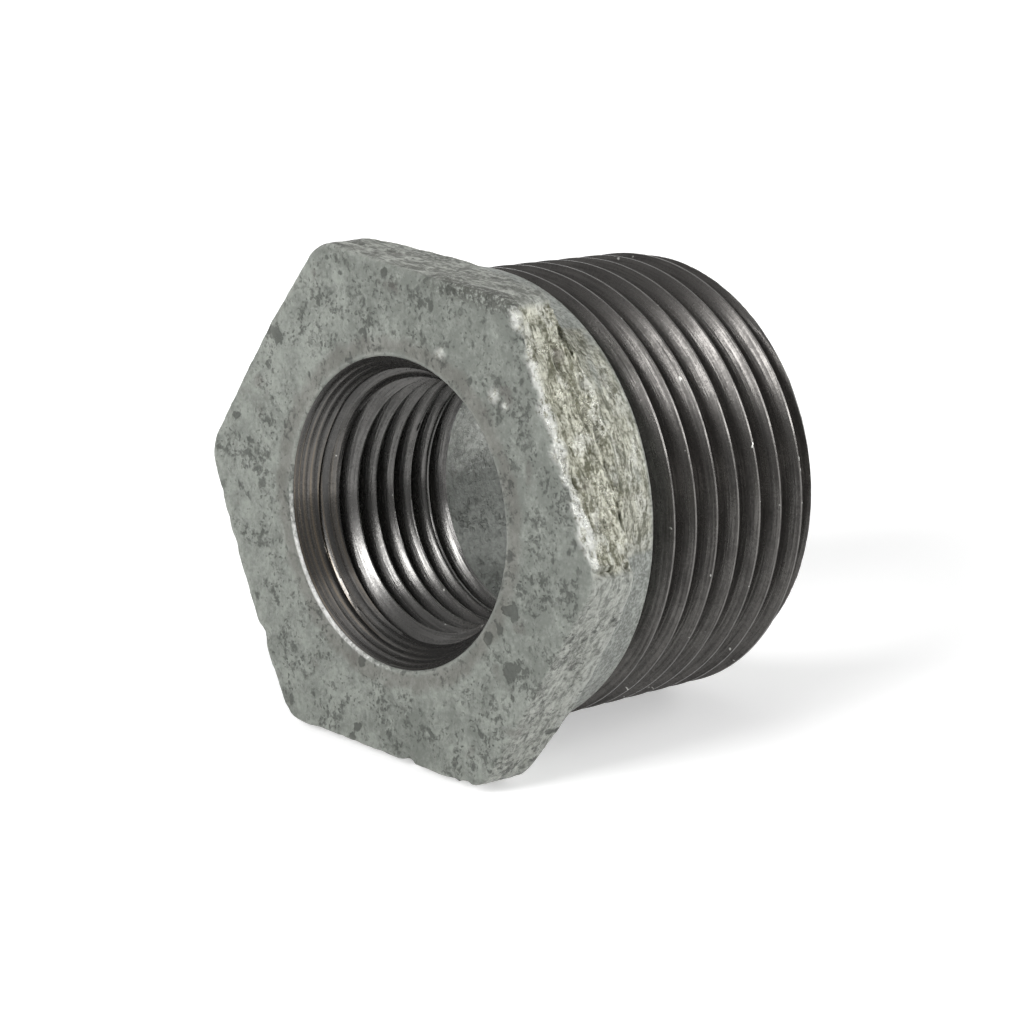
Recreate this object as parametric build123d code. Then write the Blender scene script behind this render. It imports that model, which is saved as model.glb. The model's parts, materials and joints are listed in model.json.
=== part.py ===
from build123d import *
import os
from math import atan2, cos, degrees, radians, tan

# Hex reducing bushing, 1 inch male by 1/2 inch female taper pipe thread, one malleable iron casting.
# Millimetres. While it is built, the axis lies along X with the hexagon's front face at x = 0 and the
# male end towards +X. Flats face +Z and -Z. At the end it is laid down as it rests on a level surface.
# The two threads are plain here: the male one at its crests, the female one at its drilled wall.

# Hexagon head
across_flats = 36.07
flat_length = 5.6  # front face to the rear end of a flat, at the middle of the flat
corner_radius = 3.0  # cast rounding of the six corners
front_edge_radius = 0.3  # rounding where the flats meet the front face
rear_corner_angle = 30.0  # slope that takes off the rear of the corners, from the plane of the rear face

# Round collar between the head and the male thread
collar_length = 3.8
collar_step = 0.45  # from the middle of a flat down to the collar
collar_shoulder = 0.25  # from the collar's rear edge down to the thread's crest
collar_root_fillet = 0.3  # slope where the collar grows out of the head
collar_edge_radius = 0.12  # rear edge of the collar, which must fit in its shoulder

# Male taper pipe thread
taper = 1 / 16  # on the diameter
male_thread_length = 17.8  # collar to the rear end
male_end_diameter = 32.11  # over the crests, where the end chamfer starts
end_chamfer = 1.2  # along the axis and in from the crest, at 45 degrees
end_edge_radius = 0.2  # where the chamfer meets the end face

# Female taper pipe thread
female_thread_end = 13.3  # depth from the front face
tap_drill_diameter = 18.26  # the drilled wall, which is also the crest of the female thread
mouth_diameter = 22.9
countersink_angle = 60.0  # included
mouth_edge_chamfer = 0.2

# Cast recess behind the female thread
recess_diameter = 22.6  # at the shoulder
recess_draft = 1.5
recess_shoulder_angle = 60.0  # from the axis
recess_corner_radius = 1.0  # where the shoulder meets the recess wall
recess_rim_chamfer = 0.5  # where the recess meets the end face

head_radius = across_flats / 2
collar_front_radius = head_radius - collar_step
thread_start = flat_length + collar_length
overall_length = thread_start + male_thread_length
chamfer_start = overall_length - end_chamfer
crest_at_end = male_end_diameter / 2
crest_at_collar = crest_at_end + (chamfer_start - thread_start) * taper / 2
collar_rear_radius = crest_at_collar + collar_shoulder
tap_radius = tap_drill_diameter / 2
mouth_radius = mouth_diameter / 2
countersink_depth = (mouth_radius - tap_radius) / tan(radians(countersink_angle / 2))
recess_radius = recess_diameter / 2
recess_start = female_thread_end + (recess_radius - tap_radius) / tan(radians(recess_shoulder_angle))
recess_end_radius = recess_radius + (overall_length - recess_start) * tan(radians(recess_draft))


def turned(corners):
    """A solid of revolution about the X axis, from its half section as (x, radius, rounding) corners."""
    section = make_face(Polyline(*[(x, radius) for x, radius, rounding in corners], close=True))
    for x, radius, rounding in corners:
        if rounding > 0:
            corner = section.vertices().sort_by_distance((x, radius, 0))[0]
            section = fillet(corner, rounding)
    return revolve(section, Axis.X)


def hexagon_head():
    """The cast hexagon: rounded corners, softened front edge, corners sloped off at the rear."""
    hexagon = fillet(RegularPolygon(head_radius, 6, major_radius=False).vertices(), corner_radius)
    prism = extrude(Plane.YZ * hexagon, flat_length)
    front_edges = prism.faces().sort_by(Axis.X)[0].edges()
    prism = fillet(front_edges, front_edge_radius)
    corner_reach = head_radius / cos(radians(30)) - head_radius
    slope_length = corner_reach * tan(radians(rear_corner_angle))
    envelope = turned(
        [
            (0, 0, 0),
            (0, head_radius + corner_reach, 0),
            (flat_length - slope_length, head_radius + corner_reach, 0),
            (flat_length, head_radius, 0),
            (flat_length, 0, 0),
        ]
    )
    return prism & envelope


def collar_and_male_end():
    """The round collar, the taper at the thread's crest and the chamfered end."""
    return turned(
        [
            (flat_length, 0, 0),
            (flat_length, collar_front_radius + collar_root_fillet, 0),
            (flat_length + collar_root_fillet, collar_front_radius, 0),
            (thread_start, collar_rear_radius, collar_edge_radius),
            (thread_start, crest_at_collar, 0),
            (chamfer_start, crest_at_end, 0),
            (overall_length, crest_at_end - end_chamfer, end_edge_radius),
            (overall_length, 0, 0),
        ]
    )


def waterway():
    """Everything cut out along the axis: countersink, drilled thread wall and cast recess."""
    edge_depth = mouth_edge_chamfer / tan(radians(countersink_angle / 2))
    return turned(
        [
            (0, 0, 0),
            (0, mouth_radius + mouth_edge_chamfer, 0),
            (edge_depth, mouth_radius - mouth_edge_chamfer, 0),
            (countersink_depth, tap_radius, 0),
            (female_thread_end, tap_radius, 0),
            (recess_start, recess_radius, recess_corner_radius),
            (overall_length - recess_rim_chamfer, recess_end_radius, 0),
            (overall_length, recess_end_radius + recess_rim_chamfer, 0),
            (overall_length, 0, 0),
        ]
    )


def rest_tilt(solid):
    """Angle from the axis to the line that the part rests on: the two touching places round its weight."""
    weight = solid.center(CenterOf.MASS).X
    may_touch = [
        (front_edge_radius, head_radius),
        (flat_length, head_radius),
        (thread_start, collar_rear_radius),
        (chamfer_start, crest_at_end),
    ]
    best_reach = 0
    for front_x, front_radius in may_touch:
        for rear_x, rear_radius in may_touch:
            if front_x < weight < rear_x:
                slope = (front_radius - rear_radius) / (rear_x - front_x)
                reach = front_radius - slope * (weight - front_x)
                if reach > best_reach:
                    best_reach = reach
                    best_slope = slope
    return degrees(atan2(best_slope, 1))


def laid_down(solid):
    """Tips the axis to its angle at rest, and sets the part on the ground about the origin."""
    tipped = Rot(0, rest_tilt(solid), 0) * solid
    box = tipped.bounding_box()
    return Pos(-box.center().X, -box.center().Y, -box.min.Z) * tipped


hex_bushing = laid_down(hexagon_head() + collar_and_male_end() - waterway())

os.makedirs("parts", exist_ok=True)
export_step(hex_bushing, "parts/hex_bushing.step")
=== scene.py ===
# %% [markdown]
# # A galvanised hex bushing
#
# A hex bushing joins a small pipe to a larger fitting. It is one iron casting: a hexagon for
# the wrench, a short round collar, a taper thread outside at the rear and a smaller taper
# thread inside at the front. The casting is dipped in zinc first and the threads are cut
# afterwards, so the head is mottled grey zinc and the threads are dark bare iron with a film of
# cutting oil.
#
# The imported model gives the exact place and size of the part, so it is loaded first.

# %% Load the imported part
import json
from math import asin, cos, degrees, pi, radians, sin, sqrt, tan

import bmesh
import bpy
import numpy as np
from mathutils import Matrix, Vector, noise


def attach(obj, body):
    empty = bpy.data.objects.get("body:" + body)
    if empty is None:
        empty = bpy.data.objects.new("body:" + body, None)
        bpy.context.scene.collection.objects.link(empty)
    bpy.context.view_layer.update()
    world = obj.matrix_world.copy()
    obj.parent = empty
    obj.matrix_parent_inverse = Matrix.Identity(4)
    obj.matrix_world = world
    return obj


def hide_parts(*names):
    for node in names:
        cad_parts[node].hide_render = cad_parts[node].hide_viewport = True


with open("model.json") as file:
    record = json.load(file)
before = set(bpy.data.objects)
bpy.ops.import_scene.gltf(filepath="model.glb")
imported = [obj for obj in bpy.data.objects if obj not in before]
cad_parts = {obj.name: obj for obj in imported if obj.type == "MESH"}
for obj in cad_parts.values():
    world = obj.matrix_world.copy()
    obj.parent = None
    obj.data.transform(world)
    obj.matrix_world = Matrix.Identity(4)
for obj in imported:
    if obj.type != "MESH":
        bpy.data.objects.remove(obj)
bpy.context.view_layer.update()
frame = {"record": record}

# %% [markdown]
# The part lies on its side, tipped a little because the male end is smaller than the hexagon.
# Turned work is far easier to write about its own axis, so everything is made in millimetres
# with the bore along X and the front face at x = 0, and one matrix lays the finished mesh down.
# The record's mounts say where the bore and the front face are, which is enough to work that
# matrix out.

# %% The bushing's own axes
mounts = {mount["name"]: mount for mount in frame["record"]["mounts"]}
into_bore = -Vector(mounts["female_thread"]["axis"]).normalized()
point_on_axis = Vector(mounts["female_thread"]["pos_m"])
point_on_face = Vector(mounts["front_face"]["pos_m"])
mouth_centre = point_on_axis + into_bore * (point_on_face - point_on_axis).dot(into_bore)
rest_tilt = asin(-into_bore.z)
MM = 0.001
lay_down = (
    Matrix.Translation(mouth_centre)
    @ Matrix.Rotation(rest_tilt, 4, "Y")
    @ Matrix.Scale(MM, 4)
)
print("mouth centre", mouth_centre[:], "tilt", round(degrees(rest_tilt), 3), "degrees")

# %% [markdown]
# The camera comes next, because every later choice is judged through it. It is a long lens from
# half a metre away, a little above the part and round to its front left, so the hexagon's front
# face, three flats, the bore and the male thread all show, with hardly any perspective.

# %% Camera
azimuth, elevation, roll = radians(-42.787), radians(18.997), radians(0.479)
look_at = Vector((-0.001732, 0.000451, 0.015723))
distance = 0.50958
towards_camera = Vector(
    (sin(azimuth) * cos(elevation), -cos(azimuth) * cos(elevation), sin(elevation))
)
camera_data = bpy.data.cameras.new("camera")
camera_data.sensor_width = 36
camera_data.lens = 246.1
camera_data.clip_start = 0.01
camera = bpy.data.objects.new("camera", camera_data)
camera.location = look_at + towards_camera * distance
camera.rotation_euler = (
    towards_camera.to_track_quat("Z", "Y").to_matrix().to_4x4() @ Matrix.Rotation(-roll, 4, "Z")
).to_euler()
bpy.context.scene.collection.objects.link(camera)
bpy.context.scene.camera = camera
print("camera at", [round(value, 4) for value in camera.location])

# %% [markdown]
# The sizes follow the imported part. A pipe thread is fixed by its pitch and by a taper of 1 in
# 16 on the diameter, and its flanks stand at 60 degrees to each other.

# %% Sizes, in millimetres along and about the bore
flat_radius = 36.07 / 2
flat_end = 5.6
front_rounding = 0.3
collar_start_radius = 17.58
collar_end_radius = 16.80
collar_end = 9.36
male_start, male_end = 9.62, 27.15
end_chamfer_start, end_chamfer_radius = 26.0, 16.03
end_face_radius = 14.1
mouth_radius = 11.45
wall_radius = 9.13
female_start, female_end = 0.15, 13.3
recess_start = 14.553
recess_start_radius, recess_end_radius = 11.3, 11.63
taper_slope = 1 / 32
male_pitch, female_pitch = 25.4 / 11.5, 1.70
print("male pitch", round(male_pitch, 3), "female pitch", round(female_pitch, 3))

# %% [markdown]
# Every sleeve of the mesh is rings of the same number of points, and every ring begins at one
# seam, at the bottom. Two slopes are used more than once: the 60 degree countersink closes by
# the tangent of 30 degrees, and the shoulder of the recess and the backs of the corners rise by
# that of 60.

# %% Turns and slopes
columns = 300
full_turn = 2 * pi
seam = -pi / 2
half_corner = radians(30)
mouth_slope = tan(radians(30))
shoulder_slope = tan(radians(60))
mouth_foot = mouth_radius - female_start * mouth_slope
shoulder_run = 0.8
shoulder_x = female_end + shoulder_run
shoulder_radius = wall_radius + shoulder_run * shoulder_slope
print("countersink foot", round(mouth_foot, 3), "recess shoulder", round(shoulder_radius, 3))

# %% [markdown]
# Node trees are easier to read as sums than as boxes and noodles. `Wire` wraps the output of a
# node and knows how to be added, multiplied and subtracted, and `Net` adds any other kind of
# node. The same two classes write the thread's geometry nodes and all the materials.


# %% A small language for node trees
class Wire:
    """One output of a node, which can be used in arithmetic."""

    def __init__(self, net, socket):
        self.net = net
        self.socket = socket

    def __add__(self, other):
        return self.net.math("ADD", self, other)

    def __radd__(self, other):
        return self.net.math("ADD", other, self)

    def __sub__(self, other):
        return self.net.math("SUBTRACT", self, other)

    def __rsub__(self, other):
        return self.net.math("SUBTRACT", other, self)

    def __mul__(self, other):
        return self.net.math("MULTIPLY", self, other)

    def __rmul__(self, other):
        return self.net.math("MULTIPLY", other, self)

    def __truediv__(self, other):
        return self.net.math("DIVIDE", self, other)

    def __abs__(self):
        return self.net.math("ABSOLUTE", self)


class Net:
    """A node tree written as expressions."""

    def __init__(self, tree):
        self.tree = tree

    def node(self, kind, settings=None, sockets=None):
        made = self.tree.nodes.new(kind)
        for name, value in (settings or {}).items():
            setattr(made, name, value)
        for key, value in (sockets or {}).items():
            socket = find_socket(made.inputs, key)
            if isinstance(value, Wire):
                self.tree.links.new(value.socket, socket)
            else:
                socket.default_value = value
        return Outputs(self, made)

    def math(self, operation, *terms):
        settings = {"operation": operation}
        return self.node("ShaderNodeMath", settings, dict(enumerate(terms)))[0]


class Outputs:
    """The outputs of one node, by name or number."""

    def __init__(self, net, made):
        self.net = net
        self.made = made

    def __getitem__(self, key):
        return Wire(self.net, find_socket(self.made.outputs, key))


def find_socket(sockets, key):
    if isinstance(key, int):
        return sockets[key]
    named = [socket for socket in sockets if socket.identifier == key]
    return (named or [socket for socket in sockets if socket.name == key])[0]


print("node language ready")

# %% [markdown]
# A few words are said so often that each gets a short name. All of them find their tree from
# the wire that they are given, so a line of a finish or of the thread reads like the sum that
# it is.


# %% Short names for common nodes
def larger(one, other):
    return one.net.math("MAXIMUM", one, other)


def smaller(one, other):
    return one.net.math("MINIMUM", one, other)


def split(vector):
    parts = vector.net.node("ShaderNodeSeparateXYZ", {}, {0: vector})
    return parts["X"], parts["Y"], parts["Z"]


def together(x, y, z):
    """Three values as one vector. The first of them is a wire."""
    return x.net.node("ShaderNodeCombineXYZ", {}, {0: x, 1: y, 2: z})[0]


def cloud(vector, scale, detail=3.0, rough=0.55, warp=0.0):
    """Soft noise about 0.5."""
    return vector.net.node(
        "ShaderNodeTexNoise",
        {"noise_dimensions": "3D"},
        {
            "Vector": vector, "Scale": scale, "Detail": detail, "Roughness": rough,
            "Distortion": warp,
        },
    )[0]


print("short names ready")

# %% [markdown]
# ## The threads
#
# A thread is one ridge wound round a taper, so its shape is a rule and not a drawing. It could
# be a swept triangle cut out with booleans, but those leave slivers. Here geometry nodes start
# from a flat grid and roll it into a tube. Each row of the grid is slid along the axis by one
# pitch per turn, so the rows run along the helix and the crests stay crisp. The radius of each
# point is the smallest of four surfaces, which is just how the part is cut: the V groove, the
# turned taper and the face at each end. For an inside thread every radius changes its sign, and
# the same rule holds.

# %% The thread tree and its named inputs
cut_thread = bpy.data.node_groups.new("cut_thread", "GeometryNodeTree")
for name in (
    "Side", "Pitch", "Start", "End", "Crest at seam", "Root radius", "Wall radius",
    "Wall slope", "Start radius", "Start flat", "Start rise", "End radius", "End rise",
    "Closing radius", "Ragged end", "Ring step", "Ring depth", "Root flat", "Tear",
):
    cut_thread.interface.new_socket(name, in_out="INPUT", socket_type="NodeSocketFloat")
for name in ("Columns", "Rows per turn"):
    cut_thread.interface.new_socket(name, in_out="INPUT", socket_type="NodeSocketInt")
cut_thread.interface.new_socket("Material", in_out="INPUT", socket_type="NodeSocketMaterial")
cut_thread.interface.new_socket("Geometry", in_out="OUTPUT", socket_type="NodeSocketGeometry")
thread_net = Net(cut_thread)
size = thread_net.node("NodeGroupInput")
side, pitch, start, end = size["Side"], size["Pitch"], size["Start"], size["End"]
seam_crest, per_turn = size["Crest at seam"], size["Rows per turn"]
print("thread tree takes", len(cut_thread.interface.items_tree) - 1, "inputs")

# %% [markdown]
# The grid is one unit wide, so a point's X plus a half is its share of a turn. A row is counted
# from Y, and becomes a distance along the bore that grows by one pitch over the turn. Rows that
# would stand before the start or past the end are pressed flat against it.

# %% Rows that follow the helix
row_step = pitch / per_turn
first_row = thread_net.math("FLOOR", (start - seam_crest) / row_step) - per_turn - 1
row_count = thread_net.math("CEIL", (end - start) / row_step) + per_turn + 3
grid = thread_net.node(
    "GeometryNodeMeshGrid",
    {},
    {
        "Size X": 1.0, "Size Y": 1.0,
        "Vertices X": size["Columns"] + 1, "Vertices Y": row_count + 1,
    },
)
grid_x, grid_y, _ = split(thread_net.node("GeometryNodeInputPosition")[0])
turn = grid_x + 0.5
row = thread_net.math("ROUND", (grid_y + 0.5) * row_count)
along_raw = seam_crest + (first_row + row + 0.5) * row_step + turn * pitch
along = smaller(larger(along_raw, start), end)
turns_passed = (along - seam_crest) / pitch - turn
print("rows laid along the helix")

# %% [markdown]
# The radius is written for an outside thread, where metal is below the surface and the smallest
# radius wins. `side` is 1 there and -1 inside. The groove is a V with a narrow flat at its
# root. The start may be turned in fine rings, as a countersink is, and the end may be ragged,
# where a tap stopped. A length of 0.3 millimetres lets each of these fade in from its plain
# edge.

# %% The groove, the taper and both ends
fade = 0.3
fade_in = smaller((along - start) / fade, 1.0)
fade_out = smaller((end - along) / fade, 1.0)
from_groove = abs(thread_net.math("FRACT", turns_passed) - 0.5) * pitch
flank = larger(from_groove - size["Root flat"] * 0.5, 0.0) * sqrt(3)
groove = side * (size["Root radius"] - along * taper_slope) + flank
wall = side * (size["Wall radius"] - along * size["Wall slope"])

in_from_start = larger(along - start - size["Start flat"], 0.0)
start_face = side * size["Start radius"] + in_from_start * size["Start rise"]
turned_rings = thread_net.math("SINE", along * full_turn / size["Ring step"])
start_face = start_face - turned_rings * size["Ring depth"] * fade_in

chip_radius = 17.0
chips_at = together(
    thread_net.math("COSINE", turn * full_turn) * chip_radius,
    thread_net.math("SINE", turn * full_turn) * chip_radius,
    0.0,
)
chipped = fade_out * (cloud(chips_at, 1.0, 4.0, 0.7) - 0.5) * size["Ragged end"]
end_face = side * size["End radius"] + (end - along) * size["End rise"] + chipped
ends = smaller(start_face, end_face)
surface = smaller(smaller(groove, wall), ends)
print("cut surface is the smallest of four")

# %% [markdown]
# The die tears the iron a little, in short strips along the thread, which keeps the crests from
# looking like plastic. Then the grid is rolled up: rows past the end close the end face down to
# one plain circle, the two sides of the seam are welded, and the material is set.

# %% Tear the surface and roll it up
run = (turn + thread_net.math("ROUND", turns_passed)) * full_turn
tear = cloud(together(run * 5.0, from_groove * 4.0, side * 7.0), 1.0, 3.0, 0.6)
torn_surface = surface - (tear - 0.35) * size["Tear"]
open_end = ends + (torn_surface - ends) * fade_in
past_end = smaller(larger((along_raw - end) / row_step, 0.0), 1.0)
radius = side * (open_end + (side * size["Closing radius"] - open_end) * past_end)

angle = turn * full_turn + seam
rolled = together(
    along, radius * thread_net.math("COSINE", angle), radius * thread_net.math("SINE", angle)
)
made = grid["Mesh"]
for kind, sockets in (
    ("GeometryNodeSetPosition", {"Position": rolled}),
    ("GeometryNodeMergeByDistance", {"Distance": 0.0008}),
    ("GeometryNodeRealizeInstances", {}),
    ("GeometryNodeSetMaterial", {"Material": size["Material"]}),
):
    made = thread_net.node(kind, {}, {"Geometry": made, **sockets})[0]
thread_net.node("NodeGroupOutput", {}, {"Geometry": made})
print("thread tree has", len(cut_thread.nodes), "nodes")

# %% [markdown]
# ## Finishes
#
# All the finishes are worked out in the bushing's own millimetres. A Mapping node set to
# Texture undoes the laying down, so x is the distance from the front face and y and z are
# across the bore.


# %% Helpers for finishes
def new_finish(name):
    finish = bpy.data.materials.new(name)
    finish.use_nodes = True
    finish.node_tree.nodes.clear()
    return finish, Net(finish.node_tree)


def own_millimetres(net):
    return net.node(
        "ShaderNodeMapping",
        {"vector_type": "TEXTURE"},
        {
            "Vector": net.node("ShaderNodeTexCoord")["Object"],
            "Location": mouth_centre,
            "Rotation": (0, rest_tilt, 0),
            "Scale": (MM, MM, MM),
        },
    )[0]


def placed(vector, factors=(1, 1, 1), shift=(0, 0, 0), turned=0.0):
    """A vector scaled, slid and turned about Z, so that a pattern on it falls differently."""
    return vector.net.node(
        "ShaderNodeMapping",
        {},
        {
            "Vector": vector, "Scale": factors, "Location": shift,
            "Rotation": (0, 0, radians(turned)),
        },
    )[0]


def ease(value, low, high, out_low=0.0, out_high=1.0):
    """A smooth step from low to high, which may also run downwards."""
    return value.net.node(
        "ShaderNodeMapRange",
        {"interpolation_type": "SMOOTHSTEP"},
        {"Value": value, "From Min": low, "From Max": high, "To Min": out_low, "To Max": out_high},
    )[0]


def tint(factor, one, other):
    """The first colour where factor is 0 and the other where it is 1."""
    one = one if isinstance(one, Wire) else (*one, 1)
    other = other if isinstance(other, Wire) else (*other, 1)
    return factor.net.node(
        "ShaderNodeMix",
        {"data_type": "RGBA"},
        {"Factor_Float": factor, "A_Color": one, "B_Color": other},
    )["Result_Color"]


def relief(height, depth):
    return height.net.node(
        "ShaderNodeBump", {}, {"Height": height, "Distance": depth * MM, "Strength": 1.0}
    )[0]


def close_finish(net, sockets):
    surface = net.node("ShaderNodeBsdfPrincipled", {}, sockets)
    net.node("ShaderNodeOutputMaterial", {}, {"Surface": surface[0]})


print("finish helpers ready")

# %% [markdown]
# Hot-dip zinc on a sand casting is matt and mottled. Its greys come in patches of a few
# millimetres, with irregular dark flecks that crowd together where the zinc did not wet the
# sand skin. On one flat the zinc has run, torn and crumpled, so it glitters like crushed foil.
# One finish can hold all of it, because the mesh says where each place is, with attributes from
# 0 to 1: flat, collar, torn and bare. The patterns that several layers share come first.

# %% Patterns in the zinc
zinc, zinc_net = new_finish("zinc_casting")
here = own_millimetres(zinc_net)
depth, sideways, up = split(here)
bore_radius = zinc_net.math("SQRT", sideways * sideways + up * up)
on_flat, on_collar, torn, bare = (
    zinc_net.node("ShaderNodeAttribute", {"attribute_name": name})["Fac"]
    for name in ("flat", "collar", "torn", "bare")
)
patches = cloud(here, 0.45, 3.0, 0.6, 0.4)
grain = cloud(here, 2.4, 5.0, 0.72)
sparkle = cloud(here, 4.6, 2.0, 0.5)
folds = cloud(placed(here, (2.1, 0.8, 0.8), turned=28), 0.9, 5.0, 0.66, 0.8)
crumple = cloud(placed(here, (1.5, 0.7, 0.7)), 1.6, 6.0, 0.72, 0.3)
streaks = cloud(placed(here, (2.6, 0.55, 0.55)), 0.9, 5.0, 0.66, 0.6)
print("shared patterns take", len(zinc.node_tree.nodes), "nodes")

# %% [markdown]
# The face is the plain skin: two close greys mixed by wide patches and fine grain, with dull
# patches and a painted shade that darkens it towards negative y and upwards. The flats show
# their folds in lighter zinc, and the collar is speckled.

# %% Greys of the face, the flats and the collar
# dull patches, plus a painted shade that darkens the face towards negative y and upwards
dull_patches_and_painted_shade = cloud(placed(here, shift=(4, 8, 8)), 0.16, 2.0, 0.5) - sideways * 0.007 + up * 0.005
dull_and_painted_shade = ease(dull_patches_and_painted_shade, 0.45, 0.62)
tone = ease(patches * 0.5 + grain * 0.5 - dull_and_painted_shade * 0.09, 0.325, 0.645)
colour = tint(tone, (0.218, 0.234, 0.210), (0.375, 0.397, 0.360))

fold_tone = ease(folds * 0.55 + grain * 0.45, 0.37, 0.62)
flat_colour = tint(fold_tone, (0.19, 0.198, 0.176), (0.58, 0.595, 0.55))
colour = tint(on_flat * 0.85, colour, flat_colour)
fine_speckle = grain * 0.6 + sparkle * 0.4
collar_colour = tint(ease(fine_speckle, 0.40, 0.60), (0.16, 0.167, 0.152), (0.42, 0.44, 0.415))
colour = tint(on_collar * 0.7, colour, collar_colour)
print("greys mixed")

# %% [markdown]
# Handling and pooling zinc leave their own marks. The top flat has a duller skin in streaks,
# with a pitted band along its front edge. The rear edge of each flat is painted paler, a
# painted highlight, and a fine dark line of painted shade marks the crease where the collar
# begins. Each mark is a mask from the distances across the part, in millimetres, with noise
# added so that its edge wanders.

# %% Marks of wear on the flats, a painted highlight and a painted crease shade
pale_band_at, crease_shade_at = 5.5, 5.75
on_top = ease(up, 16.9, 17.7) * ease(depth, 0.1, 0.6)
colour = tint(on_top * ease(folds, 0.60, 0.42) * 0.55, colour, (0.125, 0.130, 0.117))
top_edge = ease(depth + grain * 1.6, 2.4, 1.5) * ease(up + grain * 1.2, 17.0, 17.9)
top_edge = top_edge * ease(sideways + patches * 4.0, 2.0, -2.5)
colour = tint(top_edge * ease(fine_speckle, 0.60, 0.46) * 0.9, colour, (0.085, 0.088, 0.076))
# painted highlight: a paler band along the rear edge of each flat
pale_band_painted_highlight = ease(abs(depth + patches * 1.2 - pale_band_at), 1.1, 0.3)
pale_band_painted_highlight = pale_band_painted_highlight * ease(folds * 0.5 + grain * 0.5, 0.40, 0.56) * (1 - on_top * 0.5)
colour = tint(pale_band_painted_highlight * 0.55, colour, (0.52, 0.535, 0.505))
# painted shade: a dark line in the crease where the collar begins
crease_painted_shade = ease(abs(depth + grain * 0.3 - crease_shade_at), 0.22, 0.05)
colour = tint(crease_painted_shade * on_collar * 0.6, colour, (0.12, 0.125, 0.11))
print("wear added")

# %% [markdown]
# The flecks are noise with its top cut off, and a slower noise decides where they crowd. Larger
# spots and the placed bare pits join them through a maximum, so that no two layers darken each
# other twice. A faint brown halo runs round the mouth of the bore, and the lip where the
# countersink was cut through the zinc gets a bright painted highlight on its lower left side.

# %% Flecks, pits and the lip of the bore
crowding = ease(cloud(placed(here, shift=(2, 8, 4)), 0.38, 5.0, 0.7), 0.42, 0.61)
fleck_noise = cloud(placed(here, shift=(7, 3, 9)), 1.9, 5.0, 0.62, 0.25)
pit_noise = cloud(placed(here, shift=(1, 6, 2)), 3.6, 1.0, 0.4)
flecks = ease(fleck_noise + crowding * 0.09, 0.55, 0.70)
pits = ease(pit_noise + crowding * 0.06, 0.64, 0.74)
spots = ease(cloud(placed(here, shift=(5, 1, 6)), 0.62, 3.0, 0.5), 0.64, 0.69)
marks = larger(flecks * (crowding * 0.66 + 0.10), pits * (crowding * 0.4 + 0.35))
dark_here = larger(marks, spots * 0.75) * (1 - on_collar * 0.6)
ragged_pit = ease(bare + (grain - 0.5) * 2.6 + (patches - 0.5) * 1.2, 0.36, 0.66)
dark_here = larger(dark_here, ragged_pit * ease(bare, 0.0, 0.2) * 0.75)

halo_radius = 13.2
near_mouth = ease(abs(bore_radius + patches * 2.0 - halo_radius), 1.1, 0.2)
colour = tint(near_mouth * ease(depth, 0.4, 0.2) * 0.35, colour, (0.135, 0.110, 0.098))
colour = tint(dark_here, colour, (0.070, 0.075, 0.066))
# painted highlight: the lip of the bore is bright only on its lower left side
painted_highlight_side = ease(sideways * 0.06 - up * 0.06 + grain * 0.9, 1.12, 1.45, 0.06, 0.9)
lip_painted_highlight = ease(bore_radius, 11.72, 11.60) * ease(depth, 0.25, 0.15) * painted_highlight_side
colour = tint(lip_painted_highlight, colour, (0.74, 0.74, 0.72))
print("flecks and lip added")

# %% [markdown]
# Torn zinc is painted bright where its relief stands up, as painted glints, and olive and dark in
# its hollows, as painted shade. Its front rim is nearly white, and so are its largest lumps,
# through the same painted glints.

# %% Torn zinc, with painted glints and painted shade in its hollows
# painted glints: the colour follows the same noises as the foil's relief
painted_glints = ease(crumple * 0.40 + streaks * 0.35 + sparkle * 0.25, 0.41, 0.60)
foil = tint(painted_glints, (0.105, 0.103, 0.070), (0.560, 0.560, 0.480))
# painted shade in the hollows of the foil
painted_hollow_shade = ease(patches * 0.3 + streaks * 0.7, 0.50, 0.40)
foil = tint(painted_hollow_shade * 0.60, foil, (0.120, 0.122, 0.088))
rim = ease(depth + patches * 2.2 + up * 0.03, 2.5, 1.8)
big_lumps = ease(cloud(placed(here, (1.1, 0.8, 0.8), (3, 9, 2)), 0.62, 2.0, 0.5), 0.50, 0.60)
white_rim_and_lump_glints = larger(rim * ease(grain, 0.36, 0.52), big_lumps * 0.55 * painted_glints)
foil = tint(white_rim_and_lump_glints * 0.85, foil, (0.66, 0.67, 0.64))
colour = tint(torn, colour, foil)
print("torn zinc added")

# %% [markdown]
# The recess behind the thread is painted with light and shade: light zinc in its upper half and
# painted shade below. A few brown stains go over everything. The skin's own relief fades out
# where the zinc is torn, and the relief of the foil takes over.

# %% Painted light and shade in the recess, stains and relief
in_recess = ease(depth, 13.9, 14.6) * ease(depth, 27.1, 26.5)
# painted light above and painted shade below on the wall of the recess
recess_painted_shade = ease(up + patches * 3.0, 3.3, -1.4)
recess_painted_lit_zinc = tint(ease(grain, 0.38, 0.62), (0.40, 0.415, 0.385), (0.66, 0.68, 0.64))
recess_painted_shaded_zinc = tint(ease(grain, 0.36, 0.64), (0.095, 0.101, 0.092), (0.150, 0.160, 0.147))
colour = tint(in_recess * 0.9, colour, tint(recess_painted_shade, recess_painted_lit_zinc, recess_painted_shaded_zinc))
brown_tint = ease(cloud(placed(here, shift=(11, 3, 5)), 0.35), 0.62, 0.74)
colour = tint(brown_tint * 0.4, colour, (0.125, 0.105, 0.098))

skin_relief = patches * 0.3 + grain * 0.25 + folds * on_flat * 0.9 - dark_here * 0.25
foil_relief = crumple * 0.55 + streaks * 0.30 + sparkle * 0.22
close_finish(
    zinc_net,
    {
        "Base Color": colour,
        "Metallic": 0.45 + torn * 0.45,
        "Roughness": 0.56 - tone * 0.12 - torn * 0.23,
        "Normal": relief(skin_relief * (1 - torn) + foil_relief * torn, 0.30),
    },
)
print("made", zinc.name, "with", len(zinc.node_tree.nodes), "nodes")
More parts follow.
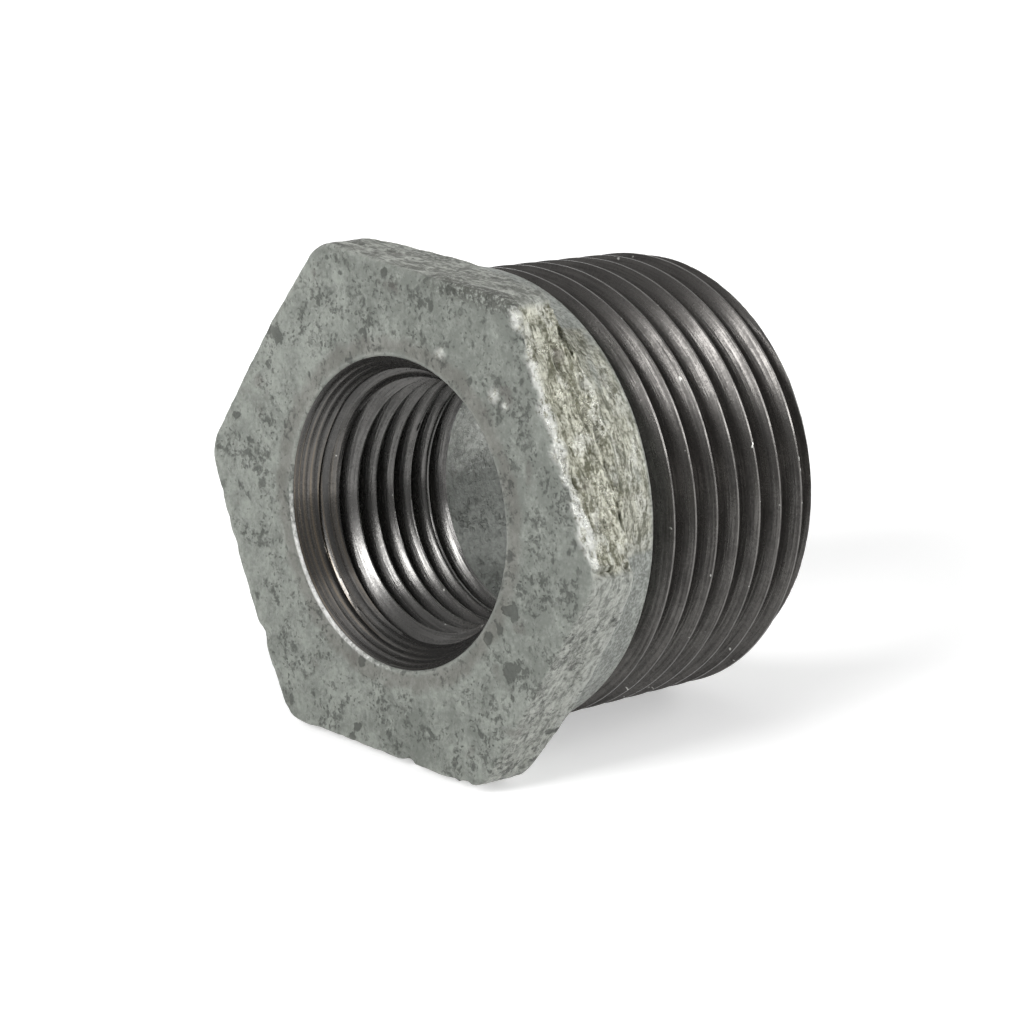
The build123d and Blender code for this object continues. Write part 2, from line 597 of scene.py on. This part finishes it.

# %% [markdown]
# The threads are cut after the zinc bath, so they are bare malleable iron. The die leaves fine
# lines that follow the thread. The grooves are darkened, partly by oil and swarf and partly as
# painted shade, and the crests are rubbed bright, with a painted highlight along them. The
# lines need a coordinate that follows the helix: the number of turns passed says how far along
# the thread a point is, and what is left over says where it lies across the groove. In the
# countersink the tool has turned plain rings instead, with painted brown-gold glints on their
# lower left side.


# %% Bare iron on the threads
def threaded_iron(name, pitch, crest_at_seam, dark, light, glow, rough, metal, root_dark, gold):
    finish, net = new_finish(name)
    here = own_millimetres(net)
    depth, sideways, up = split(here)
    around = 0.5 - net.math("ARCTAN2", sideways, up) / full_turn
    turns = (depth - crest_at_seam) / pitch - around
    whole = net.math("ROUND", turns)
    across = turns - whole
    from_crest = abs(across)
    run = (around + whole) * full_turn
    lines = cloud(together(run * 2.2, across * pitch * 9.0, 3.0), 1.0, 3.0, 0.6)
    blotches = cloud(here, 0.45, 4.0, 0.6)
    grit = cloud(here, 5.0, 3.0, 0.6)
    in_mouth = ease(depth, 3.6, 2.2)
    rings = cloud(together(depth * 6.5, around * 1.5, 0.0), 1.0, 3.0, 0.6)
    lines = lines + (rings - lines) * in_mouth

    tone = ease(lines * 0.50 + blotches * 0.25 + grit * 0.25, 0.32, 0.68)
    # the roots are darkened, partly by oil and partly as painted shade
    in_root = ease(from_crest, 0.34, 0.48)
    colour = tint((0.2 + tone * 0.8) * (1 - in_root * root_dark), dark, light)
    # painted brown-gold glints on the countersink's rings, on its lower left side
    brown_tint = in_mouth * ease(sideways * 0.07 - up * 0.03 + rings * 2.4, 1.75, 2.5) * gold
    colour = tint(brown_tint, colour, (0.27, 0.215, 0.150))
    colour = tint(in_mouth * gold * ease(rings, 0.60, 0.45) * 0.6, colour, dark)
    # worn crests, with a painted highlight along them
    worn_and_painted_highlight = ease(from_crest, 0.012, 0.040, 1.0, 0.0) * ease(cloud(here, 1.1), 0.35, 0.60, 0.25, 1.0)
    colour = tint(worn_and_painted_highlight * 0.7, colour, glow)
    specks = ease(cloud(here, 1.7, 1.0), 0.750, 0.770) * ease(from_crest, 0.14, 0.08)
    colour = tint(specks, colour, (0.60, 0.60, 0.57))
    close_finish(
        net,
        {
            "Base Color": colour,
            "Metallic": metal,
            "Roughness": ease(tone, 0.0, 1.0, rough + 0.10, rough - 0.06),
            "Normal": relief(lines * 0.9 + grit * 0.25, 0.022),
        },
    )
    return finish


print("iron finish ready to be made twice")

# %% [markdown]
# The two threads have the same finish with other values. The male thread is nearly black, most
# of all in its roots. The female thread is painted lighter, so that it can be read in the dark of
# the bore, and only its countersink carries the painted brown-gold glints.

# %% Iron of each thread
male_crest_at_seam = 11.586 - 0.694 * male_pitch
female_crest_at_seam = 0.72
male_iron = threaded_iron(
    "male_thread_iron", male_pitch, male_crest_at_seam,
    dark=(0.029, 0.0272, 0.0258), light=(0.160, 0.153, 0.146), glow=(0.24, 0.23, 0.22),
    rough=0.27, metal=0.85, root_dark=0.75, gold=0.0,
)
female_iron = threaded_iron(
    "female_thread_iron", female_pitch, female_crest_at_seam,
    dark=(0.075, 0.0735, 0.0715), light=(0.205, 0.200, 0.193), glow=(0.20, 0.195, 0.19),
    rough=0.23, metal=0.82, root_dark=0.25, gold=0.8,
)
print("made", male_iron.name, "and", female_iron.name)

# %% [markdown]
# ## Cutting the two threads
#
# The tree is used twice. Each use is a modifier on an empty mesh, its inputs are set by their
# identifiers, and the evaluated result is copied out as a plain mesh.


# %% Cut both threads
def cut(name, sizes):
    holder = bpy.data.objects.new(name, bpy.data.meshes.new(name))
    bpy.context.scene.collection.objects.link(holder)
    modifier = holder.modifiers.new("thread", "NODES")
    modifier.node_group = cut_thread
    identifiers = {
        item.name: item.identifier
        for item in cut_thread.interface.items_tree
        if item.in_out == "INPUT"
    }
    for label, value in sizes.items():
        modifier[identifiers[label]] = value
    bpy.context.view_layer.update()
    evaluated = holder.evaluated_get(bpy.context.evaluated_depsgraph_get())
    mesh = bpy.data.meshes.new_from_object(evaluated)
    holder.modifiers.remove(modifier)
    bpy.data.objects.remove(holder)
    print(name, "has", len(mesh.vertices), "points and", len(mesh.polygons), "faces")
    return mesh


male_mesh = cut(
    "male_thread",
    {
        "Side": 1.0, "Pitch": male_pitch, "Start": male_start, "End": male_end,
        "Crest at seam": male_crest_at_seam, "Root radius": 15.27, "Wall radius": 16.87,
        "Wall slope": taper_slope, "Start radius": 15.5, "Start flat": 0.75, "Start rise": 2.0,
        "End radius": end_chamfer_radius - (male_end - end_chamfer_start), "End rise": 1.0,
        "Closing radius": end_face_radius, "Ragged end": 0.15, "Ring step": 1.0, "Ring depth": 0.0,
        "Root flat": 0.18, "Tear": 0.06,
        "Columns": columns, "Rows per turn": 12, "Material": male_iron,
    },
)
female_mesh = cut(
    "female_thread",
    {
        "Side": -1.0, "Pitch": female_pitch, "Start": female_start, "End": shoulder_x,
        "Crest at seam": female_crest_at_seam, "Root radius": 10.6, "Wall radius": wall_radius,
        "Wall slope": 0.0, "Start radius": mouth_foot, "Start flat": 0.0,
        "Start rise": mouth_slope, "End radius": shoulder_radius, "End rise": shoulder_slope,
        "Closing radius": shoulder_radius, "Ragged end": 0.9, "Ring step": 0.50,
        "Ring depth": 0.020, "Root flat": 0.10, "Tear": 0.03,
        "Columns": columns, "Rows per turn": 14, "Material": female_iron,
    },
)

# %% [markdown]
# ## The cast head, collar and tail
#
# The rest of the part is rings of points about the same axis, with as many points to a ring as
# the threads have, so that the edges meet point for point. A ring of the hexagon comes from the
# polar radius of a hexagon with rounded corners. Behind the flats a sloping cone takes the
# corners off, and the collar follows it. A soft minimum of the flat, the slope and the collar
# gives each casting edge its small natural rounding, which a bevel on sharp edges would not
# vary along its length.

# %% Rings of the head
angles = seam + full_turn * np.arange(columns) / columns
turns = np.degrees(angles)
# the rounding of each corner and the swelling of each flat, by its angle about the bore
corner_roundings = {0: 3.0, 60: 3.1, 120: 3.2, 180: 3.0, 240: 2.7, 300: 2.7}
flat_crowns = {30: 0.20, 90: 0.0, 150: 0.0, 210: 0.0, 270: 0.0, 330: 0.28}
crown_reach = 26


def hexagon_radius(inset=0.0):
    """Polar radius of the rounded hexagon, moved inwards by inset."""
    nearest = np.round(turns / 60) * 60
    rounding = np.array([corner_roundings[int(corner) % 360] for corner in nearest])
    to_corner = np.radians(turns - nearest)
    flat = flat_radius - inset
    corner = rounding - inset
    centre = (flat - corner) / cos(half_corner)
    straight = flat / np.cos(np.abs(to_corner) - half_corner)
    under_root = np.maximum(corner**2 - (centre * np.sin(to_corner)) ** 2, 0)
    rounded = centre * np.cos(to_corner) + np.sqrt(under_root)
    middle = np.floor(turns / 60) * 60 + 30
    crown = np.array([flat_crowns[int(side) % 360] for side in middle])
    straight = straight + crown * np.maximum(1 - ((turns - middle) / crown_reach) ** 2, 0)
    touches = np.arctan2((flat - corner) * tan(half_corner), flat)
    on_flat = half_corner - np.abs(to_corner) < touches
    return np.where(on_flat, straight, rounded)


def soft_min(one, other, softness):
    gap = np.clip(0.5 + 0.5 * (other - one) / softness, 0, 1)
    return other * (1 - gap) + one * gap - softness * gap * (1 - gap)


def wander(scale, seed):
    """A slow wave round the part, the same at both ends of the turn."""
    return np.array(
        [noise.noise(Vector((cos(a) * scale, sin(a) * scale, seed))) for a in angles]
    )


def head_radius_at(x):
    slope_start = flat_end + 0.35 * wander(1.6, 4.0) - 0.1
    slope = flat_radius + (slope_start - x) * shoulder_slope
    collar = collar_start_radius + (flat_end - x) * (
        (collar_start_radius - collar_end_radius) / (collar_end - flat_end)
    )
    behind = -soft_min(-slope, -collar * np.ones(columns), 0.35)
    return soft_min(hexagon_radius(), behind, 0.45)


print("hexagon reaches", hexagon_radius().max().round(2), "at its corners")

# %% [markdown]
# A ring also carries what the finish and the casting skin need to know: how far it belongs to a
# flat or to the collar, and how much relief it may get. The turned edges get none, because they
# have to meet the threads point for point.

# %% Collect the rings
rings = []
flat_share, collar_share, relief_share = [], [], []


def add_ring(x, radius, flat=0.0, collar=0.0, rough=1.0):
    rings.append((np.broadcast_to(x, columns), np.broadcast_to(radius, columns)))
    flat_share.append(flat)
    collar_share.append(collar)
    relief_share.append(rough)


inner = mouth_foot + 0.22
add_ring(female_start, mouth_foot, rough=0.0)
add_ring(0.05, mouth_foot + 0.08, rough=0.1)
add_ring(0.0, inner, rough=0.3)
edge_rounding = front_rounding * (1 + 0.7 * wander(2.6, 7.0))
face_edge = hexagon_radius(edge_rounding)
face_rings, edge_rings = 22, 4
for step in range(1, face_rings + 1):
    add_ring(0.0, inner + (face_edge - inner) * step / face_rings)
for step in range(1, edge_rings):
    turned = radians(90) * step / edge_rings
    inset = edge_rounding * (1 - sin(turned))
    add_ring(edge_rounding * (1 - cos(turned)), hexagon_radius(inset), flat=step / edge_rings)
for x in np.concatenate([np.arange(0.5, 3.6, 0.31), np.arange(3.6, 6.1, 0.14)]):
    past_flat = float(np.clip((x - 5.3) / 0.6, 0, 1))
    add_ring(x, head_radius_at(x), flat=1 - past_flat, collar=past_flat)
for x in np.arange(6.1, 9.1, 0.27):
    add_ring(x, head_radius_at(x), collar=1.0, rough=0.7)
for x, drop, rough in ((9.14, 0.0, 0.5), (9.28, 0.03, 0.3), (9.38, 0.12, 0.2), (9.43, 0.3, 0.1)):
    add_ring(x, head_radius_at(min(x, collar_end)) - drop, collar=1.0, rough=rough)
for x, radius in ((9.47, 16.2), (9.50, 15.85), (9.54, 15.6), (male_start, 15.5)):
    add_ring(x, radius, collar=1.0, rough=0.0)
print("head has", len(rings), "rings of", columns)

# %% [markdown]
# The tail is the plain end face and the cast recess behind the female thread. Only a little of
# the recess shows through the bore, but the part is picked up and turned, so all of it gets
# rounded corners and a cast skin.


# %% Rings of the tail
def rounded_line(points, setbacks, spacing):
    """Points along a bent line whose corners are rounded by the given setbacks."""
    points = [Vector(point) for point in points]
    line = [points[0]]
    for index in range(1, len(points)):
        here, last = points[index], points[index - 1]
        final = index == len(points) - 1
        ahead = (here - last).normalized()
        stop = here if final else here - ahead * setbacks[index]
        count = max(1, round((stop - line[-1]).length / spacing))
        begun = line[-1]
        line += [begun.lerp(stop, step / count) for step in range(1, count + 1)]
        if not final:
            leave = here + (points[index + 1] - here).normalized() * setbacks[index]
            for part in (0.25, 0.5, 0.75, 1.0):
                line.append(stop.lerp(here, part).lerp(here.lerp(leave, part), part))
    return line


tail_line = rounded_line(
    [
        (male_end, end_face_radius), (male_end, recess_end_radius + 0.5),
        (male_end - 0.5, recess_end_radius), (recess_start, recess_start_radius),
        (shoulder_x, shoulder_radius),
    ],
    [0, 0.15, 0.2, 0.4, 0],
    0.75,
)
tail_rings = [(np.full(columns, p.x), np.full(columns, p.y)) for p in tail_line]
print("tail has", len(tail_rings), "rings")

# %% [markdown]
# Sand leaves a casting slightly lumpy. Each point of the cast skin is moved along its normal by
# noise a few hundredths of a millimetre deep at the millimetre scale. Finer grain than the mesh
# can hold is left to the finish.


# %% Points, normals and lumps
def rings_to_points(pairs):
    x = np.array([pair[0] for pair in pairs])
    r = np.array([pair[1] for pair in pairs])
    return np.stack([x, r * np.cos(angles), r * np.sin(angles)], axis=-1)


def ring_normals(points):
    around = np.roll(points, -1, axis=1) - np.roll(points, 1, axis=1)
    along = np.gradient(points, axis=0)
    normal = np.cross(around, along)
    return normal / np.maximum(np.linalg.norm(normal, axis=-1, keepdims=True), 1e-9)


def lumps(point, stretch=1.0):
    spot = Vector((point[0] * stretch, point[1], point[2]))
    wide = noise.noise(spot * 0.35)
    middle = noise.noise(spot * 0.95 + Vector((9, 2, 5))) * 0.6
    fine = noise.noise(spot * 2.1 + Vector((3, 8, 1))) * 0.35
    return wide + middle + fine


def smooth(value, low, high):
    part = np.clip((value - low) / (high - low), 0, 1)
    return float(part * part * (3 - 2 * part))


def bell(gap):
    return (1 - gap * gap) ** 2


print("lumps at the mouth of the bore", round(lumps((0.0, mouth_radius, 0.0)), 3))

# %% [markdown]
# Knocks in the bin nick the edges, and the bath leaves small bright lumps of frozen zinc and
# larger bare pits on the face. There are only a few of each, so they are listed one by one. An
# angle about the bore and a radius are enough to say where one is.

# %% Nicks, lumps of zinc and bare pits
nicks = [
    # angle, distance from the front face, radius, width, depth
    (262, 0.1, 18.0, 0.9, 0.25),
    (244, 0.2, 20.0, 0.8, 0.30),
    (318, 0.1, 18.6, 1.0, 0.22),
    (150, 0.2, 17.9, 1.1, 0.28),
    (128, 0.1, 19.3, 0.8, 0.20),
    (95, 0.2, 17.9, 1.2, 0.15),
]
lumps_of_zinc = [
    # angle, radius, width
    (104.9, 13.08, 0.55),
    (130.2, 14.17, 0.75),
    (134.9, 14.63, 0.4),
]
bare_pits = [
    # angle, radius, width
    (198.7, 13.19, 0.75),
    (214.8, 15.35, 0.9),
    (36.2, 17.15, 0.8),
    (213.9, 12.22, 0.45),
    (211.5, 18.65, 0.6),
]


def gap_on_face(point, turn, r, width):
    """How far a point of the face is from a spot's middle, as a share of its width."""
    across = point[1] - r * cos(radians(turn))
    up = point[2] - r * sin(radians(turn))
    return np.hypot(across, up) / width


print(len(nicks), "nicks,", len(lumps_of_zinc), "lumps and", len(bare_pits), "pits")

# %% [markdown]
# On one flat the zinc tore while it froze. It reaches a little way onto the front face, ends
# raggedly there, and thins out over the collar. Most of the other flats have a trace of it. The
# depth of the torn skin is folds that run along the flat, a hollow behind the front rim and a
# few chips out of that rim.

# %% Torn zinc on the flats
# how torn the zinc is on each flat, by the angle of the middle of the flat
torn_flats = {30: 0.10, 90: 0.06, 150: 1.0, 210: 0.0, 270: 0.15, 330: 0.18}


def torn_at(x, r, turn):
    """How torn the zinc is at this distance from the face, radius and angle, from 0 to 1."""
    middle = 60 * int(np.floor(turn / 60)) + 30
    share = torn_flats[middle % 360]
    ragged = 4.0 * noise.noise(Vector((x * 0.9, turn * 0.15, 2.0)))
    on_side = smooth(abs(turn - middle) + ragged, 33.0, 28.5)
    from_side = flat_radius - r * cos(radians(turn - middle))
    rim_reach = 0.65 + 1.3 * noise.noise(Vector((turn * 0.20, 5.0, 1.0)))
    edge = smooth(from_side - x, rim_reach, rim_reach - 0.35)
    patch_noise = noise.noise(Vector((x * 0.5, turn * 0.09, 8.0)))
    patchy = smooth(patch_noise + 0.4 * share, -0.25, 0.15)
    over_collar = smooth(x, 5.1, 6.0) * (1 - 0.9 * patchy)
    rear = 1 - over_collar - 0.9 * patchy * smooth(x, 8.9, 9.4)
    return share * on_side * edge * rear


def crumpled(point, turn):
    """Depth of the torn zinc at a point."""
    x = point[0]
    spot = Vector((x * 1.5, point[1] * 0.7, point[2] * 0.7))
    wide_folds = abs(noise.noise(spot * 0.8)) * 0.60
    folds = wide_folds + abs(noise.noise(spot * 1.7 + Vector((4, 4, 4)))) * 0.36
    rim_end = 0.95 + 0.9 * noise.noise(Vector((turn * 0.12, 1.0, 3.0)))
    hollow = smooth(x, rim_end, rim_end + 0.35) * (1 - smooth(x, 4.6, 5.4))
    wide_chips = noise.noise(Vector((turn * 0.22, 6.0, 1.0)))
    chips = wide_chips + 0.5 * noise.noise(Vector((turn * 0.41, 2.0, 9.0)))
    broken = max(chips, 0.0) * 0.85 * (1 - smooth(x, 0.4, 1.2))
    return folds * (0.5 + 0.5 * hollow) + 0.16 * hollow + broken


print("the torn flat is", round(torn_at(3.0, flat_radius, 150.0), 2), "torn at its middle")

# %% [markdown]
# Now each point of the skin is moved by all of these in turn. The noise follows the point's own
# place and not a random draw, so the result is the same each time. The place of the tear and of
# the pits is kept for the finish. The tail has no flats: its share of -1 stretches the lumps
# and halves them.


# %% Move the casting skin
def roughen(points, shares, flats, depth):
    normals = ring_normals(points)
    moved = points.copy()
    torn = np.zeros(points.shape[:2])
    bare = np.zeros(points.shape[:2])
    for row, (share, flat) in enumerate(zip(shares, flats)):
        for column, turn in enumerate(turns % 360):
            point = points[row, column]
            on_face = point[0] == 0
            lump = min(lumps(point, 1.0 + 1.4 * flat) - 0.75, 0.0)
            move = lump * depth * share * (1 + 0.5 * flat)
            if flat > 0:
                fold = Vector((point[0] * 1.2 + point[2] * 0.55, point[1] * 0.35, point[2] * 0.35))
                move -= 0.17 * flat * max(noise.noise(fold), 0.0)
            for nick_turn, x, r, width, deep in nicks if share > 0 else ():
                spot = np.array([x, r * cos(radians(nick_turn)), r * sin(radians(nick_turn))])
                gap = np.linalg.norm(point - spot) / width
                if gap < 1:
                    move -= deep * bell(gap)
            if flat > 0 or on_face or point[0] > flat_end:
                torn[row, column] = torn_at(point[0], float(np.hypot(point[1], point[2])), turn)
            if torn[row, column] > 0:
                move -= crumpled(point, turn) * torn[row, column] * share
            for lump_of_zinc in lumps_of_zinc if on_face else ():
                gap = gap_on_face(point, *lump_of_zinc)
                if gap < 1:
                    move += 0.16 * bell(gap)
                    torn[row, column] = max(torn[row, column], 1 - gap * gap)
            for pit in bare_pits if on_face else ():
                gap = gap_on_face(point, *pit)
                gap *= 0.85 + 0.9 * noise.noise(Vector(point) * 1.3)
                if 0 <= gap < 1:
                    move -= 0.12 * bell(gap)
                    bare[row, column] = 1 - gap * gap
            moved[row, column] += normals[row, column] * move
    return moved, torn, bare


head_points = rings_to_points(rings)
outward = ring_normals(head_points)[40, 0]
print("a normal at the bottom flat points", outward.round(2))
head_points, torn_share, bare_share = roughen(head_points, relief_share, flat_share, 0.055)
tail_points = rings_to_points(tail_rings)
tail_shares = [0.6] * len(tail_rings)
tail_shares[0] = tail_shares[-1] = 0.0
tail_points = roughen(tail_points, tail_shares, [-1.0] * len(tail_rings), 0.04)[0]
print("roughened", (len(head_points) + len(tail_points)) * columns, "points")

# %% [markdown]
# ## One casting
#
# Now the four sleeves are joined into one closed skin. Edges that meet at a clear angle, such
# as the crests, are marked sharp, and the rest is shaded smooth.


# %% Join the sleeves
def sleeve(name, points, material, attributes):
    count = len(points)
    mesh = bpy.data.meshes.new(name)
    index = np.arange(count * columns).reshape(count, columns)
    nxt = np.roll(index, -1, axis=1)
    quads = np.stack([index[:-1], nxt[:-1], nxt[1:], index[1:]], axis=-1).reshape(-1, 4)
    mesh.from_pydata(points.reshape(-1, 3).tolist(), [], quads.tolist())
    mesh.materials.append(material)
    for label, values in attributes.items():
        values = np.array(values, float)
        spread = values.ravel() if values.ndim == 2 else np.repeat(values, columns)
        mesh.attributes.new(label, "FLOAT", "POINT").data.foreach_set("value", spread)
    return mesh


head_shares = {
    "flat": flat_share, "collar": collar_share, "torn": torn_share, "bare": bare_share
}
head_mesh = sleeve("head", head_points, zinc, head_shares)
tail_mesh = sleeve("tail", tail_points, zinc, dict.fromkeys(head_shares, [0.0] * len(tail_rings)))
print("sleeves have", len(head_mesh.polygons), "and", len(tail_mesh.polygons), "faces")

# %% [markdown]
# The joins are welded by distance, and the few faces that the welding flattened are dissolved.
# A count of the edges that don't have just two faces shows whether the skin is closed.

# %% Weld one closed skin
sharp_from = radians(38)
finishes = [zinc, male_iron, female_iron]
skin = bmesh.new()
for mesh, slot_index in ((head_mesh, 0), (tail_mesh, 0), (male_mesh, 1), (female_mesh, 2)):
    before = len(skin.faces)
    skin.from_mesh(mesh)
    skin.faces.ensure_lookup_table()
    for face in skin.faces[before:]:
        face.material_index = slot_index
bmesh.ops.remove_doubles(skin, verts=skin.verts, dist=0.001)
bmesh.ops.dissolve_degenerate(skin, edges=skin.edges, dist=0.0005)
bmesh.ops.recalc_face_normals(skin, faces=skin.faces)
for face in skin.faces:
    face.smooth = True
for edge in skin.edges:
    if len(edge.link_faces) == 2:
        edge.smooth = edge.calc_face_angle() < sharp_from
open_edges = sum(len(edge.link_faces) != 2 for edge in skin.edges)
bushing_mesh = bpy.data.meshes.new("hex_bushing_body")
skin.to_mesh(bushing_mesh)
skin.free()
for finish in finishes:
    bushing_mesh.materials.append(finish)
bushing_mesh.transform(lay_down)
bushing = bpy.data.objects.new("hex_bushing_body", bushing_mesh)
bpy.context.scene.collection.objects.link(bushing)
bushing_mesh.calc_loop_triangles()
print("open or doubled edges:", open_edges, " triangles:", len(bushing_mesh.loop_triangles))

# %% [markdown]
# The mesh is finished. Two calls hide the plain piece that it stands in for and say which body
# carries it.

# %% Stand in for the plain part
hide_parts("hex_bushing")
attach(bushing, "root")
print("the finished bushing takes the place of the plain one")

# %% [markdown]
# ## Floor and light
#
# The part is shown as in a catalogue, on white. The floor is plain and pale, and keeps the
# part's soft shadow. It shows white to the camera through Light Path, not through more light,
# and shiny things see most of that white too.


# %% Floor
def white_where_seen(net, lit, glow):
    path = net.node("ShaderNodeLightPath")
    seen = larger(path["Is Camera Ray"], path["Is Glossy Ray"] * 0.8)
    seen = larger(seen, path["Is Transmission Ray"])
    emission = net.node("ShaderNodeEmission", {}, {"Color": (1, 1, 1, 1), "Strength": seen * glow})
    return net.node("ShaderNodeAddShader", {}, {0: lit, 1: emission[0]})[0]


floor_finish, floor_net = new_finish("plain_floor")
floor_lit = floor_net.node(
    "ShaderNodeBsdfDiffuse", {}, {"Color": (0.80, 0.80, 0.80, 1), "Roughness": 1.0}
)
floor_net.node(
    "ShaderNodeOutputMaterial", {}, {"Surface": white_where_seen(floor_net, floor_lit[0], 0.42)}
)
floor_mesh = bpy.data.meshes.new("floor")
reach = 6.0  # metres to each side, so that no edge shows
floor_mesh.from_pydata(
    [(-reach, -reach, 0), (reach, -reach, 0), (reach, reach, 0), (-reach, reach, 0)],
    [],
    [(0, 1, 2, 3)],
)
floor_mesh.materials.append(floor_finish)
floor = bpy.data.objects.new("floor", floor_mesh)
bpy.context.scene.collection.objects.link(floor)
print("floor reaches", reach, "metres to each side")

# %% [markdown]
# Large soft lights give rounded iron its long highlights. There is one on each side, a low one
# in front and a weak one above. Each is given by its angle round the part, its height, its size
# and its power. The left one leans, so that its reflection crosses the threads at a slant.


# %% Lights
light_distance = 0.7


def soft_light(name, turn, height, size, power, lean=0):
    lamp = bpy.data.lights.new(name, "AREA")
    lamp.shape = "RECTANGLE"
    lamp.size, lamp.size_y = size
    lamp.energy = power
    body = bpy.data.objects.new(name, lamp)
    aim = Vector((0, 0, 0.018))
    turn, height = radians(turn), radians(height)
    back = Vector((sin(turn) * cos(height), -cos(turn) * cos(height), sin(height)))
    body.location = aim + back * light_distance
    leaning = back.to_track_quat("Z", "Y").to_matrix() @ Matrix.Rotation(radians(-lean), 3, "Z")
    body.rotation_euler = leaning.to_euler()
    bpy.context.scene.collection.objects.link(body)


soft_light("left_softbox", -89, 31, (0.25, 0.44), 3.3, lean=35)
soft_light("right_softbox", 49, 29, (0.30, 0.40), 2.3)
soft_light("low_softbox", 15, 8, (0.50, 0.18), 1.0)
soft_light("top_softbox", -20, 80, (0.60, 0.60), 0.75)
print("four soft lights")

# %% [markdown]
# The backdrop is the world. The camera sees it white. What lights the part is dimmer, and
# brightest from behind it, as in a room with one large window.

# %% Backdrop
world = bpy.data.worlds.new("studio")
bpy.context.scene.world = world
world.use_nodes = True
world.node_tree.nodes.clear()
world_net = Net(world.node_tree)
path = world_net.node("ShaderNodeLightPath")
turn, height = radians(137), radians(15)
window = (sin(turn) * cos(height), -cos(turn) * cos(height), sin(height))
facing = world_net.node(
    "ShaderNodeVectorMath",
    {"operation": "DOT_PRODUCT"},
    {0: world_net.node("ShaderNodeTexCoord")["Generated"], 1: window},
)["Value"]
room = 0.14 + ease(facing, -0.1, 0.9) * 0.46
white_seen = larger(path["Is Camera Ray"], path["Is Transmission Ray"])
white_seen = larger(white_seen, path["Is Glossy Ray"] * 0.12)
backdrop = world_net.node(
    "ShaderNodeBackground",
    {},
    {"Color": (1, 1, 1, 1), "Strength": room + white_seen * (1 - room)},
)
world_net.node("ShaderNodeOutputWorld", {}, {"Surface": backdrop[0]})
bpy.context.scene.view_settings.view_transform = "Standard"
print("white backdrop")
